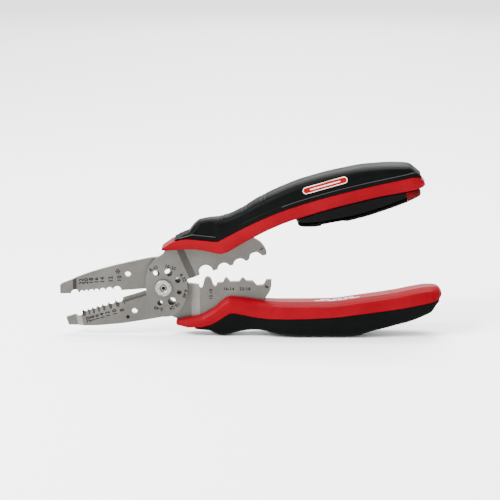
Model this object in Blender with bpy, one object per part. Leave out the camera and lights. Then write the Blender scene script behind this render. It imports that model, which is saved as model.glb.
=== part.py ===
"""Wire stripper, crimper and bolt cutter with a voltage alert in its upper handle.

Everything is drawn in millimetres around the pivot: X runs from the jaws to the handle ends,
Y through the thickness, Z up. The lower lever is drawn as it stands. The upper lever is drawn
with the tool closed and hangs on an empty at the pivot, opened by OPEN_ANGLE. An outline runs
clockwise, seen from the front.
"""
import math
from bisect import bisect_right

import bmesh
import bpy
from mathutils import Matrix, Vector

# Driving dimensions, in millimetres and degrees.
MM = 0.001
OPEN_ANGLE = 13.5            # how far the upper lever stands open at rest
PIVOT_HEIGHT = 30.2          # pivot axis above the surface the lower grip stands on
TOOL_CENTRE_X = 53.95        # middle of the open tool's length, measured from the pivot
PLATE = 3.2                  # thickness of the steel levers
GAP = 0.3                    # clearance between pieces that touch
PLANE = (PLATE + GAP) / 2    # a lever's middle plane, off the tool's middle plane
GRIP_WALL = 2.5              # thickness of the soft grip at its lower rim
RISE = 0.15                  # rise of the core's back where no grip covers it
POD_WALL = 1.4               # wall of the sensor housing
COVER = 1.5                  # thickness of the covers under the sensor housing
CELL_R, CELL_H = 5.8, 2.1    # button cell
PIVOT_R = 3.0                # shoulder of the pivot bolt
BOLT_CIRCLE = 10.1           # radius on which the bolt-cutting holes lie
BOLT_HOLES = (2.05, 2.45, 1.75, 1.5, 2.45, 1.65)     # radii, clockwise from the top
BOLT_PITCH = 44.0            # angle between two bolt-cutting holes
ALIGN_ANGLE = 10.0           # opening past rest at which both levers' holes line up

# Stripping notches: centre along the jaw and radius, from the nose to the pivot.
NOTCHES = ((-51.1, 1.25), (-48.3, 1.25), (-45.2, 1.5), (-41.9, 1.55),
           (-38.2, 1.85), (-33.9, 2.1), (-29.1, 2.45))
NOTCH_BEVEL = 2.3            # how far a notch widens through the plate
NOSE_GAP = (-55.6, 2.3)      # round gap between the plier nose and the first tooth

# Handle lines, as (x, z) points along the handle, and half widths as (x, y).
UPPER = {
    "inner": ((4.8, 23.5), (13.0, 22.3), (20.4, 21.0), (27.6, 19.0), (33.5, 16.4), (40.9, 13.3),
              (44.5, 13.7), (52.4, 16.4), (62.0, 19.3), (74.3, 22.5), (86.3, 24.6),
              (101.8, 25.8), (117.0, 26.6), (140.0, 26.9), (159.0, 25.9), (167.0, 25.5),
              (170.5, 25.4), (172.6, 26.2)),
    "seam": ((4.8, 24.7), (7.5, 26.0), (10.0, 26.9), (14.4, 27.9), (17.0, 28.1), (20.4, 27.9),
             (26.7, 26.0), (33.0, 23.9), (40.4, 21.7), (44.2, 22.8), (49.0, 24.2), (58.8, 26.9),
             (68.5, 29.4), (85.0, 32.2), (101.0, 33.6), (117.0, 34.3), (133.0, 34.5),
             (165.0, 33.7), (168.5, 33.1), (170.3, 31.9), (171.6, 29.9), (172.6, 27.6)),
    "outer": ((14.4, 28.9), (18.3, 29.8), (21.2, 30.6), (23.5, 30.9), (25.7, 32.6), (28.2, 34.5),
              (32.4, 36.2), (36.8, 36.1), (44.9, 35.2), (49.3, 35.2), (57.3, 36.6), (70.4, 40.7),
              (82.6, 43.5), (99.9, 46.1), (116.6, 46.8), (133.1, 46.4), (148.5, 44.4),
              (160.6, 41.7), (165.5, 40.0), (169.5, 35.4), (171.4, 33.0)),
    "width": ((4.8, 6.0), (12.0, 7.2), (25.0, 7.7), (40.0, 8.1), (55.0, 9.4), (70.0, 11.4),
              (85.0, 12.2), (130.0, 12.4), (150.0, 12.0), (162.0, 11.2), (168.0, 9.6),
              (171.0, 7.4), (172.6, 5.0)),
    "grip": (14.4, 171.2),
    "bend": 40.4,            # where the seam has its corner
    "crown": 0.15,           # how far the middle of the inner face stands out
}
LOWER = {
    "inner": ((7.6, -21.4), (12.0, -21.1), (18.0, -20.4), (23.3, -19.4), (26.3, -17.7),
              (32.8, -13.8), (37.6, -9.3), (41.5, -7.6), (45.5, -7.8), (53.6, -8.8), (62.5, -10.1),
              (71.6, -10.7), (84.0, -10.8), (103.0, -10.6), (122.0, -8.1), (143.0, -4.9),
              (154.0, -2.6), (165.6, -0.9), (169.5, -1.2), (172.6, -2.8)),
    "seam": ((7.6, -22.6), (9.5, -23.9), (12.0, -24.5), (18.0, -24.7), (22.0, -24.5), (26.6, -23.7),
             (29.3, -22.7), (33.3, -20.7), (37.8, -17.5), (41.5, -15.4), (44.0, -15.3),
             (51.9, -16.7), (60.4, -17.8), (66.0, -18.1), (78.4, -18.0), (104.5, -16.9),
             (119.5, -15.0), (134.3, -13.0), (149.2, -10.8), (160.0, -8.7), (167.0, -7.4),
             (170.0, -6.6), (171.6, -5.6), (172.6, -4.2)),
    "outer": ((19.5, -25.7), (24.0, -26.5), (28.2, -27.0), (32.2, -29.0), (35.8, -30.2),
              (38.0, -30.2), (40.6, -29.8), (44.6, -28.5), (49.1, -27.4), (53.0, -26.7),
              (57.6, -26.4), (62.6, -26.8), (66.0, -27.9), (71.0, -28.9), (78.0, -29.8),
              (86.0, -30.2), (115.5, -30.2), (119.5, -29.9), (122.8, -29.1), (126.8, -27.6),
              (138.0, -24.7), (145.4, -22.6), (152.9, -20.5), (162.2, -16.7), (166.3, -14.6),
              (167.8, -12.6), (169.1, -10.4), (171.3, -7.8)),
    "width": ((7.6, 6.0), (12.0, 7.0), (18.0, 7.2), (42.0, 7.8), (55.0, 9.0), (70.0, 11.4),
              (85.0, 12.3), (120.0, 12.4), (150.0, 12.2), (160.0, 11.8), (166.0, 10.8),
              (169.5, 9.0), (171.5, 7.0), (172.6, 4.8)),
    "grip": (19.5, 171.2),
    "bend": 42.6,
    "crown": 2.0,
}
# Grip cross-section from its rim to its back: share of half width, share of height.
GRIP_PROFILE = ((1.0, 0.0), (1.02, 0.25), (1.02, 0.5), (0.99, 0.7), (0.9, 0.87), (0.7, 0.97),
                (0.42, 1.0))

# Sensor housing under the upper handle.
POD_BOTTOM = ((90.0, 21.9), (90.8, 20.0), (92.4, 19.1), (96.0, 18.2), (103.3, 17.0), (111.0, 16.7),
              (122.0, 16.1), (130.0, 16.2), (145.5, 17.4), (153.4, 18.3), (161.5, 19.4),
              (168.9, 20.7))
POD_WIDTH = ((90.0, 4.8), (91.0, 7.4), (92.8, 9.2), (97.5, 10.2), (110.0, 10.6), (150.0, 10.4),
             (160.0, 9.8), (165.0, 8.8), (168.9, 6.4))
POD_START, POD_END, LENS_END = 90.0, 159.8, 168.9
COVER_SPLIT = 120.4          # where the battery cover meets the circuit cover
BOARD = (123.5, 146.5, 21.3, 22.5)                   # circuit board: x from, x to, z from, z to
SCREWS_X = (119.7, 150.2)    # screws that hold the housing under the handle
LED_X, LED_Z, LED_R = 156.2, 22.3, 1.4               # the lamp's base, axis and radius
CELLS_X = (99.3, 111.5)

# Badge on the front flank of the upper grip.
BADGE_AT, BADGE_SIZE, BADGE_TILT = (112.9, 41.9), (28.4, 4.3), 2.6


# Curves and outlines ------------------------------------------------------------------------

def smooth(points, x):
    """Height at x of a smooth line through points, with no overshoot between them."""
    spans = [(b[1] - a[1]) / (b[0] - a[0]) for a, b in zip(points, points[1:])]
    i = min(max(bisect_right([p[0] for p in points], x) - 1, 0), len(spans) - 1)

    def slope(k):
        if k in (0, len(spans)):
            return spans[min(k, len(spans) - 1)]
        before, after = spans[k - 1], spans[k]
        return 0.0 if before * after <= 0 else 2 * before * after / (before + after)

    (x0, z0), (x1, z1) = points[i], points[i + 1]
    t = min(max((x - x0) / (x1 - x0), 0.0), 1.0)
    run = x1 - x0
    return ((2 * t**3 - 3 * t**2 + 1) * z0 + (t**3 - 2 * t**2 + t) * run * slope(i)
            + (3 * t**2 - 2 * t**3) * z1 + (t**3 - t**2) * run * slope(i + 1))


def rounded(points, steps=3):
    """An open line through points, curved between them (Catmull-Rom)."""
    pts = [Vector(p) for p in points]
    ends = [pts[0] * 2 - pts[1]] + pts + [pts[-1] * 2 - pts[-2]]
    line = []
    for a, b, c, d in zip(ends, ends[1:], ends[2:], ends[3:]):
        for k in range(steps):
            t = k / steps
            line.append(tuple(0.5 * (2 * b + (c - a) * t + (2 * a - 5 * b + 4 * c - d) * t**2
                                     + (3 * b - a - 3 * c + d) * t**3)))
    return line + [tuple(pts[-1])]


def arc(centre, radius, start, end, steps=10):
    """Points on a circle from the start angle to the end angle, in degrees."""
    angles = (math.radians(start + (end - start) * k / steps) for k in range(steps + 1))
    return [(centre[0] + radius * math.cos(a), centre[1] + radius * math.sin(a)) for a in angles]


def circle(centre, radius, steps=24):
    return arc(centre, radius, 0, 360, steps)[:-1]


def polar(radius, angle):
    return radius * math.cos(math.radians(angle)), radius * math.sin(math.radians(angle))


def stations(start, end, step, *marks):
    """Places along a handle about a step apart, with the marks that need one of their own."""
    count = math.ceil((end - start) / step)
    even = [start + (end - start) * k / count for k in range(count + 1)]
    kept = [x for x in even if all(abs(x - m) > step / 3 for m in marks)]
    return sorted({start, end, *kept, *marks})


# Blender objects ----------------------------------------------------------------------------

def empty(name, parent=None, location=(0, 0, 0), turn_y=0.0):
    obj = bpy.data.objects.new(name, None)
    obj.location = Vector(location) * MM
    obj.rotation_euler = (0, math.radians(turn_y), 0)
    obj.parent = parent
    bpy.context.collection.objects.link(obj)
    return obj


def finish_object(name, bm, parent, material=None, sharp=35.0):
    """Turn a bmesh drawn in millimetres into an object in metres."""
    bmesh.ops.remove_doubles(bm, verts=bm.verts, dist=0.002)
    bmesh.ops.recalc_face_normals(bm, faces=bm.faces)
    bmesh.ops.transform(bm, matrix=Matrix.Scale(MM, 4), verts=bm.verts)
    mesh = bpy.data.meshes.new(name)
    bm.to_mesh(mesh)
    bm.free()
    mesh.shade_smooth()
    mesh.set_sharp_from_angle(angle=math.radians(sharp))
    if material:
        mesh.materials.append(material)
    obj = bpy.data.objects.new(name, mesh)
    obj.parent = parent
    bpy.context.collection.objects.link(obj)
    return obj


def make_material(name, colour, roughness, metallic=0.0, alpha=1.0):
    mat = bpy.data.materials.new(name)
    mat.use_nodes = True
    mat.diffuse_color = (*colour, alpha)
    shader = mat.node_tree.nodes["Principled BSDF"]
    shader.inputs["Base Color"].default_value = (*colour, 1)
    shader.inputs["Roughness"].default_value = roughness
    shader.inputs["Metallic"].default_value = metallic
    shader.inputs["Alpha"].default_value = alpha
    return mat


def cut(obj, cutter):
    """Cut a hidden guide object out of obj."""
    cutter.hide_render = True
    cutter.display_type = "WIRE"
    modifier = obj.modifiers.new(cutter.name, "BOOLEAN")
    modifier.operation = "DIFFERENCE"
    modifier.object = cutter
    modifier.solver = "EXACT"


def fill(bm, loops, y=0.0):
    """Fill an outline and its holes in the XZ plane."""
    for loop in loops:
        verts = [bm.verts.new((x, y, z)) for x, z in loop]
        for a, b in zip(verts, verts[1:] + verts[:1]):
            bm.edges.new((a, b))
    bmesh.ops.triangle_fill(bm, edges=bm.edges, use_beauty=True, normal=(0, -1, 0))


def prism_mesh(loops, y_from, y_to):
    """Outline with holes, filled and carried from one Y to the other."""
    bm = bmesh.new()
    fill(bm, loops, y_from)
    lift = bmesh.ops.extrude_face_region(bm, geom=bm.faces[:])
    moved = [v for v in lift["geom"] if isinstance(v, bmesh.types.BMVert)]
    bmesh.ops.translate(bm, vec=(0, y_to - y_from, 0), verts=moved)
    return bm


def prism(name, loops, y_from, y_to, parent, material=None):
    return finish_object(name, prism_mesh(loops, y_from, y_to), parent, material)


def loft_mesh(rings):
    """Closed body through rings that all have the same number of points."""
    bm = bmesh.new()
    rows = [[bm.verts.new(p) for p in ring] for ring in rings]
    for a, b in zip(rows, rows[1:]):
        for i, vert in enumerate(a):
            j = (i + 1) % len(a)
            bm.faces.new((vert, a[j], b[j], b[i]))
    for row in (rows[0], rows[-1]):
        bmesh.ops.triangulate(bm, faces=[bm.faces.new(row)], ngon_method="EAR_CLIP")
    return bm


def loft(name, rings, parent, material=None):
    return finish_object(name, loft_mesh(rings), parent, material)


def turned(name, profile, parent, material=None, axis="Z", at=(0, 0, 0), steps=28):
    """Body turned from (radius, height) points that start and end on the axis."""
    bm = bmesh.new()
    verts = [bm.verts.new((r, 0, h)) for r, h in profile]
    edges = [bm.edges.new(pair) for pair in zip(verts, verts[1:])]
    if profile[0][0] > 0:
        edges.append(bm.edges.new((verts[-1], verts[0])))
    bmesh.ops.spin(bm, geom=verts + edges, cent=(0, 0, 0), axis=(0, 0, 1), steps=steps,
                   angle=math.tau, use_merge=False)
    lay = {"X": Matrix.Rotation(math.pi / 2, 4, "Y"), "Y": Matrix.Rotation(-math.pi / 2, 4, "X"),
           "Z": Matrix.Identity(4)}[axis]
    bmesh.ops.transform(bm, matrix=Matrix.Translation(at) @ lay, verts=bm.verts)
    return finish_object(name, bm, parent, material)


def slab(name, low, high, parent, material, corner=0.0):
    """Block between two corners, with rounded upright edges where a corner radius is given."""
    (x0, y0, z0), (x1, y1, z1) = low, high
    bm = bmesh.new()
    bmesh.ops.create_cube(bm, size=1)
    bmesh.ops.transform(bm, verts=bm.verts, matrix=Matrix.Translation(
        ((x0 + x1) / 2, (y0 + y1) / 2, (z0 + z1) / 2)) @ Matrix.Diagonal((x1 - x0, y1 - y0, z1 - z0, 1)))
    if corner:
        upright = [e for e in bm.edges if abs(e.verts[0].co.z - e.verts[1].co.z) > 0.01]
        bmesh.ops.bevel(bm, geom=upright, offset=corner, segments=4, affect="EDGES", profile=0.5)
    return finish_object(name, bm, parent, material)


# Steel levers -------------------------------------------------------------------------------

def front_outline():
    """Lower jaw, disc, upper crimping die and the tang inside the upper handle."""
    jaw = [(-64.0, -4.8), (-58.0, -4.5), (-53.3, -3.0), (-26.6, -0.6), (-11.0, 0.4)]
    disc = rounded(((-10.4, 4.0), (-9.3, 8.3), (-7.6, 12.4), (-5.0, 15.8), (-1.6, 18.4), (4.6, 20.7)))
    tang = [(6.4, 22.5), (8.4, 24.2), (14.2, 25.1), (21.7, 24.2), (31.8, 21.8), (39.5, 18.4),
            (47.6, 19.5), (61.3, 24.2), (74.6, 27.9), (85.0, 29.6), (86.6, 28.6), (86.6, 27.2),
            (85.0, 26.4), (76.6, 24.7), (66.5, 22.2), (64.0, 20.6), (61.0, 17.9)]
    hook = rounded(((62.5, 16.5), (64.2, 15.0), (65.7, 13.0), (66.9, 10.2), (67.5, 7.5), (67.3, 5.9),
                    (66.6, 5.2)), 2)
    bite = [(64.5, 5.3)] + rounded(((62.7, 7.4), (61.7, 8.3), (59.7, 8.4), (57.5, 7.8), (56.6, 6.1),
                                    (55.6, 4.8), (54.6, 4.3)), 2)
    nests = (arc((49.7, 2.5), 4.3, 28, 162) + arc((39.4, 2.3), 4.1, 20, 167)
             + arc((27.9, 3.3), 4.4, -3, 165, 12))
    throat = [(23.6, 2.3), (19.8, 1.9), (16.4, 1.9), (15.4, 1.4)]
    heel = rounded(((14.8, 0.3), (14.5, -3.2), (13.3, -7.2), (10.0, -13.0), (4.8, -17.7),
                    (-0.7, -18.8), (-5.5, -18.0)))
    belly = [(-15.6, -17.4), (-30.6, -16.2), (-45.4, -14.0), (-55.7, -11.7), (-63.7, -9.7)]
    return jaw + disc + tang + hook + bite + nests + throat + heel + belly


def rear_outline():
    """Upper jaw, disc, lower crimping die and the tang inside the lower handle."""
    back = rounded(((-64.7, 1.0), (-63.2, 2.1), (-57.6, 4.3), (-44.6, 9.1), (-29.7, 13.3),
                    (-14.8, 16.7), (-7.4, 18.2), (-1.0, 18.4), (4.5, 16.3), (9.6, 11.6), (13.0, 7.0),
                    (14.6, 3.2), (15.4, 1.8)))
    slot = [(21.9, 1.4)] + rounded(((22.2, -0.3), (23.1, -0.9), (24.1, -0.3)), 3)
    cutter = rounded(((24.6, 1.8), (25.2, 4.2), (26.0, 5.8), (27.5, 6.4), (29.0, 5.7), (29.9, 4.0),
                      (30.6, 1.9), (31.2, 0.7), (32.0, 0.3), (32.8, 0.9), (33.1, 2.5)), 2)
    teeth = []
    for foot, crown, heel in ((36.9, 38.9, 41.4), (47.2, 49.2, 51.3)):
        level = 2.8 + (foot - 36.9) * 0.06
        teeth += rounded(((foot, level), (crown - 0.9, 5.2), (crown, 5.75), (crown + 0.9, 5.2),
                          (heel, level + 0.4)), 3)
    bite = [(55.3, 3.8), (57.6, 1.2), (58.3, 0.9), (61.8, 1.2), (62.4, 1.8), (63.7, 4.5), (66.7, 4.7)]
    hook = rounded(((67.1, 4.3), (67.0, 0.8), (66.2, -2.3), (64.4, -5.3), (62.4, -8.3), (61.2, -10.6)), 2)
    tang = [(64.0, -12.2), (85.0, -12.8), (106.0, -12.5), (108.0, -14.0), (108.0, -17.0),
            (106.0, -18.5), (85.0, -19.6), (67.0, -18.9), (55.9, -18.0), (47.2, -17.3), (41.6, -17.1),
            (35.4, -19.2), (29.8, -21.0), (23.6, -22.1), (16.2, -22.1), (10.8, -21.7), (7.6, -20.5)]
    disc = rounded(((2.0, -18.0), (-3.5, -15.6), (-8.0, -11.2), (-10.4, -5.5), (-10.8, -1.4)))
    jaw = [(-26.3, -2.5), (-31.6, -2.5), (-53.1, -3.9), (-57.5, -4.1), (-64.7, -4.1)]
    return back + slot + cutter + teeth + bite + hook + tang + disc + jaw


def joggled_plate(name, loops, plane, bends, parent, material):
    """Lever plate pressed from its own plane back to the middle plane past each bend.

    A bend is (x where it starts, x where it ends, lean): the far side of its end is the middle.
    """
    bm = bmesh.new()
    fill(bm, loops)
    for start, end, lean in bends:
        for x in (start, end):
            bmesh.ops.bisect_plane(bm, geom=bm.verts[:] + bm.edges[:] + bm.faces[:], dist=0.0001,
                                   plane_co=(x, 0, 0), plane_no=(1, 0, lean))
    lift = bmesh.ops.extrude_face_region(bm, geom=bm.faces[:])
    moved = {v for v in lift["geom"] if isinstance(v, bmesh.types.BMVert)}
    for v in bm.verts:
        shift = plane
        for start, end, lean in bends:
            share = (v.co.x + lean * v.co.z - start) / (end - start)
            shift -= plane * min(max(share, 0.0), 1.0)
        v.co.y = shift + (PLATE / 2 if v in moved else -PLATE / 2)
    return finish_object(name, bm, parent, material, sharp=25)


def bolt_holes(first_angle):
    return [circle(polar(BOLT_CIRCLE, first_angle - k * BOLT_PITCH), r, 28)
            for k, r in enumerate(BOLT_HOLES)]


def tooth_line(line, x):
    """Height of the tooth tips at x, on a straight line through two points."""
    (x0, z0), (x1, z1) = line
    return z0 + (z1 - z0) * (x - x0) / (x1 - x0)


def cut_jaw(lever, side, line, nose_z, edge, parent):
    """Grind the stripping notches and the cutting edge: side is -1 on the front, 1 on the rear."""
    inner, outer = side * GAP / 2, side * (GAP / 2 + PLATE)
    past = side * 0.4
    for k, (x, radius) in enumerate(NOTCHES):
        grow = NOTCH_BEVEL * abs(past) / PLATE
        rings = [[(x + r * math.cos(a), y, tooth_line(line, x) + r * math.sin(a))
                  for a in (math.tau * (n + 0.5) / 24 for n in range(24))]
                 for r, y in ((radius - grow, inner - past), (radius + NOTCH_BEVEL + grow, outer + past))]
        cut(lever, loft(f"{lever.name}_notch_{k}", rings, parent))
    nose = circle((NOSE_GAP[0], nose_z), NOSE_GAP[1])
    cut(lever, prism(f"{lever.name}_nose_gap", [nose], -6, 6, parent))
    (x0, z0), (x1, z1) = edge
    land = inner + side * 0.3
    depth = NOTCH_BEVEL * side * (1 if lever.name == "rear_lever" else -1)
    wedge = [[(x, land, z), (x, outer + past, z + depth), (x, outer + past, z - depth * 1.2),
              (x, land, z - depth * 1.2)] for x, z in ((x0, z0), (x1, z1))]
    cut(lever, loft(f"{lever.name}_edge_bevel", wedge, parent))


def make_front_lever(parent, steel):
    first = 116 - OPEN_ANGLE
    loops = [front_outline(), circle((0, 0), PIVOT_R + GAP, 32), circle((-21.3, -10.4), 1.8, 20)]
    lever = joggled_plate("front_lever", loops + bolt_holes(first), -PLANE,
                          ((-54.4, -57.7, 0.0), (17.5, 21.8, 0.18)), parent, steel)
    cut_jaw(lever, -1, ((-52.5, -2.9), (-26.6, -0.55)), -3.7, ((-26.9, -0.6), (-11.6, 0.35)), parent)
    return lever


def make_rear_lever(parent, steel):
    loops = [rear_outline(), circle((0, 0), PIVOT_R + GAP, 32), circle((-22.4, 7.7), 1.85, 20)]
    lever = joggled_plate("rear_lever", loops + bolt_holes(116 + ALIGN_ANGLE), PLANE,
                          ((-54.5, -56.6, 0.0), (17.2, 22.4, 0.0)), parent, steel)
    cut_jaw(lever, 1, ((-52.5, -3.85), (-26.6, -2.15)), -4.1, ((-26.6, -2.5), (-11.2, -1.45)), parent)
    return lever


# Pivot --------------------------------------------------------------------------------------

def make_pivot(parent, steel, dark):
    face = GAP / 2 + PLATE + GAP
    washer = face + 0.6
    head = washer + GAP
    bolt = turned("pivot_bolt", ((0, head + 1.7), (4.6, head + 1.7), (5.3, head + 1.1), (5.3, head),
                                 (PIVOT_R, head), (PIVOT_R, 0.2 - face), (1.9, 0.2 - face),
                                 (1.9, -face - 0.7), (1.5, -face - 1.0), (0, -face - 1.0)),
                  parent, steel, axis="Y")
    cut(bolt, prism("bolt_socket", [arc((0, 0), 1.6, 0, 300, 5)], head + 0.5, head + 3, parent))
    turned("pivot_washer", ((PIVOT_R + GAP, face), (5.0, face), (5.0, washer),
                            (PIVOT_R + GAP, washer)), parent, dark, axis="Y")
    nut = turned("pivot_nut", ((2.2, -face), (5.2, -face), (5.2, -face - 1.2), (4.8, -face - 1.6),
                               (2.7, -face - 1.6), (2.2, -face - 1.2)), parent, steel, axis="Y",
                 steps=36)
    cut(nut, prism("nut_notch", [circle(polar(5.4, 52), 0.8, 12)], -face - 3, -face - 0.5, parent))


# Handles ------------------------------------------------------------------------------------

def spine_height(handle, x):
    """How far the hard core reaches up inside the soft grip."""
    start, end = handle["grip"]
    if not start < x < end:
        return RISE
    grip = abs(smooth(handle["outer"], x) - smooth(handle["seam"], x))
    return max(0.5 * grip - 1.2, RISE)


def handle_places(handle):
    """Stations that a core and its grip share, so that the gap between them stays even."""
    start, end = handle["inner"][0][0] + 0.8, handle["inner"][-1][0]
    marks = [x for x, _ in handle["outer"]] + [handle["bend"]]
    return stations(start, end, 6.5, *handle["grip"], *marks)


def mirror_ring(x, half):
    """Ring from the points of its +Y half."""
    return [(x, y, z) for y, z in half] + [(x, -y, z) for y, z in reversed(half)]


def core_ring(handle, x, inset=0.0):
    """Section of the hard core: crowned inner face, flank, seam and the back inside the grip."""
    inner, seam = smooth(handle["inner"], x), smooth(handle["seam"], x)
    way, thick = math.copysign(1, seam - inner), abs(seam - inner)
    trim, crown = min(inset, thick / 4) * way, min(handle["crown"], thick / 2 - 0.3)
    inner, seam, w = inner + trim, seam - trim, smooth(handle["width"], x) - inset
    spine, foot, edge = seam + way * spine_height(handle, x), w - GRIP_WALL, min(1.5, 0.22 * w)
    return mirror_ring(x, ((w * 0.35, inner - crown * way), (w * 0.66, inner - 0.62 * crown * way),
                           (w - edge, inner - 0.08 * crown * way),
                           (w - edge * 0.6, inner + way * min(0.8, 0.3 * abs(seam - inner))),
                           (w - 0.2, (inner + seam) / 2), (w, seam), (foot, seam),
                           (foot - 0.8, seam + 0.6 * (spine - seam)), (foot * 0.45, spine)))


def grip_ring(handle, x):
    seam, outer = smooth(handle["seam"], x), smooth(handle["outer"], x)
    way = math.copysign(1, outer - seam)
    w, rim = smooth(handle["width"], x), seam + GAP * way
    spine = spine_height(handle, x) * way
    foot = w - GRIP_WALL + GAP
    skin = [(w * side, rim + (outer - rim) * up) for side, up in GRIP_PROFILE]
    lining = [(foot * 0.45, rim + spine), (foot - 0.8, rim + 0.6 * spine), (foot, rim)]
    return mirror_ring(x, lining + skin)


def make_core(name, handle, parent, material, slots):
    start = handle["inner"][0][0]
    rows = [core_ring(handle, start, 0.8)] + [core_ring(handle, x) for x in handle_places(handle)]
    core = loft(name, rows, parent, material)
    for k, (outline, y_from, y_to) in enumerate(slots):
        cut(core, prism(f"{name}_slot_{k}", [outline], y_from, y_to, parent))
    return core


def make_grip(name, handle, parent, material):
    start, end = handle["grip"]
    rings = [grip_ring(handle, x) for x in handle_places(handle) if start <= x <= end]
    return loft(name, rings, parent, material)


def grip_half_width(handle, x, z):
    """Half width of the grip's skin at a point on its flank."""
    seam, outer = smooth(handle["seam"], x), smooth(handle["outer"], x)
    rim = seam + math.copysign(GAP, outer - seam)
    up = (z - rim) / (outer - rim)
    for (a, low), (b, high) in zip(GRIP_PROFILE, GRIP_PROFILE[1:]):
        if low <= up <= high:
            return smooth(handle["width"], x) * (a + (b - a) * (up - low) / (high - low))
    return smooth(handle["width"], x)


def make_badge(parent, material):
    """Stadium-shaped badge that follows the flank of the upper grip."""
    length, height = BADGE_SIZE
    reach, r = length / 2 - height / 2, height / 2
    tilt = math.radians(BADGE_TILT)
    rows = []
    for k in range(17):
        u = -length / 2 + length * k / 16
        past = max(abs(u) - reach, 0.0)
        half = max(math.sqrt(max(r * r - past * past, 0.0)), 0.35)
        row = []
        for v in (-half, 0.0, half):
            x = BADGE_AT[0] + u * math.cos(tilt) - v * math.sin(tilt)
            z = BADGE_AT[1] + u * math.sin(tilt) + v * math.cos(tilt)
            row.append((x, grip_half_width(UPPER, x, z), z))
        rows.append([(x, -y - 0.35, z) for x, y, z in row] + [(x, -y - 0.8, z) for x, y, z in row[::-1]])
    return loft("handle_badge", rows, parent, material)


def upper_slots():
    """Room for the front lever's tang: its disc side lies forward of the middle plane."""
    front = [(3.0, 12.0), (3.0, 19.6), (6.2, 22.8), (8.3, 24.5), (14.2, 25.4)]
    deep = front + [(21.8, 24.6), (31.8, 22.2), (39.5, 18.8), (47.6, 19.9), (61.3, 24.6), (74.6, 28.3),
                    (85.2, 30.0), (87.0, 28.9), (87.0, 27.2), (85.1, 26.1), (76.6, 24.4), (66.8, 21.9),
                    (66.0, 12.0)]
    wide = front + [(21.5, 24.7), (21.5, 12.0)]
    middle = PLATE / 2 + GAP
    return ((deep, -middle, middle), (wide, -PLATE - GAP * 1.5, middle - 0.01))


def lower_slots():
    """Room for the rear lever's tang: its disc side lies behind the middle plane."""
    front = [(6.0, -10.0), (6.0, -21.0), (10.6, -22.1), (16.1, -22.5)]
    deep = front + [(23.7, -22.5), (30.0, -21.3), (35.5, -19.55), (41.6, -17.45), (47.2, -17.65),
                    (55.9, -18.4), (67.0, -19.3), (85.0, -19.95), (106.1, -18.85), (108.35, -17.2),
                    (108.35, -13.8), (106.1, -12.15), (85.0, -12.4), (64.1, -11.8), (62.5, -5.0),
                    (30.0, -3.0)]
    wide = front + [(22.9, -22.5), (22.9, -10.0)]
    middle = PLATE / 2 + GAP
    return ((deep, -middle, middle), (wide, 0.01 - middle, PLATE + GAP * 1.5))


# Sensor housing -----------------------------------------------------------------------------

def pod_ring(x, low, high, inset=0.0):
    """Rounded ring of the housing between two heights."""
    w = smooth(POD_WIDTH, x) - inset
    soft = min(1.2, (high - low) / 2.5)
    return mirror_ring(x, ((w * 0.6, low), (w - soft, low + 0.1), (w - 0.25, low + soft), (w, high - 0.6),
                           (w - 0.4, high)))


def pod_top(x):
    """The housing's top face, just under the handle."""
    return smooth(UPPER["inner"], x) - UPPER["crown"] - GAP


def make_housing(parent, material):
    places = stations(POD_START, POD_END, 7.0, 90.8, 92.4, 95.0)
    rim = {x: smooth(POD_BOTTOM, x) + COVER + GAP for x in places}
    outer = [pod_ring(x, min(rim[x], pod_top(x) - 1.4), pod_top(x)) for x in places]
    housing = loft("sensor_housing", outer, parent, material)
    inside = stations(92.4, POD_END - POD_WALL, 7.0, 95.0)
    cavity = [pod_ring(x, smooth(POD_BOTTOM, x) - 2.0, pod_top(x) - POD_WALL, POD_WALL) for x in inside]
    cut(housing, loft("housing_cavity", cavity, parent))
    for k, x in enumerate(SCREWS_X):
        cut(housing, turned(f"housing_screw_hole_{k}", ((0, -6), (1.6, -6), (1.6, 6), (0, 6)), parent,
                            at=(x, 0, 25)))
    bore = LED_R + GAP
    cut(housing, turned("housing_led_hole", ((0, -3), (bore, -3), (bore, 3), (0, 3)), parent,
                        axis="X", at=(POD_END, 0, LED_Z)))
    return housing


def cover_rings(x_from, x_to):
    places = stations(x_from, x_to, 6.0, *(x for x in (92.4, 95.0) if x_from < x < x_to))
    return [pod_ring(x, smooth(POD_BOTTOM, x), smooth(POD_BOTTOM, x) + COVER, 0.1) for x in places]


def make_covers(parent, battery_frame, material):
    battery = loft("battery_cover", cover_rings(POD_START + 0.7, COVER_SPLIT - GAP / 2), battery_frame,
                   material)
    cut(battery, turned("thumb_recess", ((0, -9), (9.0, -9), (9.0, 9), (0, 9)), battery_frame, axis="Y",
                        at=(114.3, 0, smooth(POD_BOTTOM, 114.3) - 8.4), steps=48))
    return battery, loft("circuit_cover", cover_rings(COVER_SPLIT + GAP / 2, POD_END), parent, material)


def make_lens(parent, material):
    places = (POD_END + GAP, 161.5, 163.5, 165.5, 167.3, 168.4, LENS_END)
    rings = [pod_ring(x, smooth(POD_BOTTOM, x), pod_top(x) - (0.8 if x == LENS_END else 0)) for x in places]
    lens = loft("alert_lens", rings, parent, material)
    bore = LED_R + GAP
    cut(lens, turned("lens_cavity", ((0, -4), (bore, -4), (bore, 1.4), (1.2, 2.4), (0, 2.8)), parent,
                     axis="X", at=(POD_END, 0, LED_Z)))
    return lens


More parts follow.
